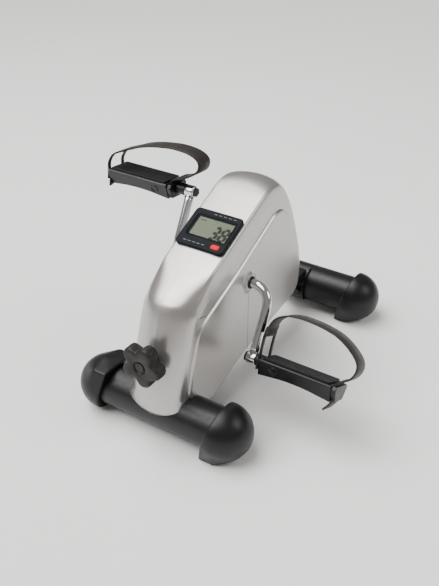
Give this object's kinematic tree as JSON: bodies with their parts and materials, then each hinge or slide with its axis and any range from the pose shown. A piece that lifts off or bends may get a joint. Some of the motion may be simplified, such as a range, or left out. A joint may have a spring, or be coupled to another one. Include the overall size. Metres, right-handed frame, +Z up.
{
  "type": "pedal exerciser",
  "caption": "Low floor-standing pedal exerciser: tapered shell on two capped foot tubes, bent-rod crank with strapped pedals, sloping display and a front resistance knob.",
  "frame": {"origin": "centre of the bounding box in X and Y, on the floor that the end caps stand on", "axes": "+X to the right-hand pedal, +Y to the back along the machine, +Z up"},
  "size_m": [0.4446, 0.4756, 0.316],
  "materials": {
    "silver_shell": "satin silver paint",
    "black_steel": "satin black",
    "black_plastic": "soft gloss black",
    "chrome": "polished",
    "steel": "turned",
    "zinc": "zinc plated",
    "rubber": "matt",
    "bezel": "satin charcoal",
    "lcd": "grey green display",
    "window": "clear",
    "red_button": "satin red",
    "felt": "felt",
    "board": "lacquered"
  },
  "bodies": {
    "base": {"front_tube": "black_steel", "rear_tube": "black_steel", "front_left_cap": "black_plastic", "front_right_cap": "black_plastic", "rear_left_cap": "black_plastic", "rear_right_cap": "black_plastic", "front_left_insert": "zinc", "front_right_insert": "zinc", "rear_left_insert": "zinc", "rear_right_insert": "zinc", "front_left_bolt": "zinc", "front_right_bolt": "zinc", "rear_left_bolt": "zinc", "rear_right_bolt": "zinc", "main_frame": "black_steel", "left_bearing": "steel", "right_bearing": "steel", "right_shell": "silver_shell", "left_shell": "silver_shell", "shell_screw_1": "zinc", "shell_screw_2": "zinc", "shell_screw_3": "zinc", "shell_screw_4": "zinc", "left_crank_seal": "black_plastic", "right_crank_seal": "black_plastic", "monitor_bezel": "bezel", "monitor_case": "black_plastic", "lcd_window": "window", "lcd_panel": "lcd", "circuit_board": "board", "battery": "zinc", "speed_sensor": "black_plastic", "sensor_lead": "rubber"},
    "crank": {"crank_axle": "steel", "brake_wheel": "steel", "speed_magnet": "zinc", "left_crank_arm": "chrome", "right_crank_arm": "chrome", "left_pedal_spindle": "black_steel", "right_pedal_spindle": "black_steel", "left_spindle_nut": "black_steel", "right_spindle_nut": "black_steel"},
    "left_pedal": {"left_pedal_body": "black_plastic", "left_pedal_tread": "rubber", "left_pedal_end": "black_plastic", "left_toe_strap": "rubber"},
    "right_pedal": {"right_pedal_body": "black_plastic", "right_pedal_tread": "rubber", "right_pedal_end": "black_plastic", "right_toe_strap": "rubber"},
    "knob": {"tension_knob": "black_plastic", "knob_cover": "black_plastic", "tension_screw": "zinc", "screw_clip": "steel"},
    "brake": {"brake_pad": "felt", "brake_carrier": "black_plastic"},
    "button": {"reset_button": "red_button"}
  },
  "joints": [
    {"name": "crank_spin", "type": "hinge", "parent": "base", "child": "crank", "pos_m": [-0.005, -0.0529, 0.173], "axis": [1, 0, 0], "continuous": true},
    {"name": "left_pedal_spin", "type": "hinge", "parent": "crank", "child": "left_pedal", "pos_m": [-0.165, -0.00777, 0.25716], "axis": [1, 0, 0], "continuous": true, "deforming": ["left_toe_strap"]},
    {"name": "right_pedal_spin", "type": "hinge", "parent": "crank", "child": "right_pedal", "pos_m": [0.145, -0.09803, 0.08884], "axis": [1, 0, 0], "continuous": true},
    {"name": "knob_turn", "type": "hinge", "parent": "base", "child": "knob", "pos_m": [-0.005, -0.2214, 0.126], "axis": [0, -1, 0], "range_deg": [0, 1080]},
    {"name": "brake_slide", "type": "slide", "parent": "base", "child": "brake", "axis": [0, -1, 0], "range_m": [0, 0.00375]},
    {"name": "button_press", "type": "slide", "parent": "base", "child": "button", "axis": [0, 0.4305, -0.9026], "range_m": [0, 0.0009], "stiffness_N_per_m": 400, "springref_m": -0.0004}
  ],
  "couplings": [
    {"joint": "brake_slide", "follows": "knob_turn", "m_per_rad": 0.00019894}
  ]
}
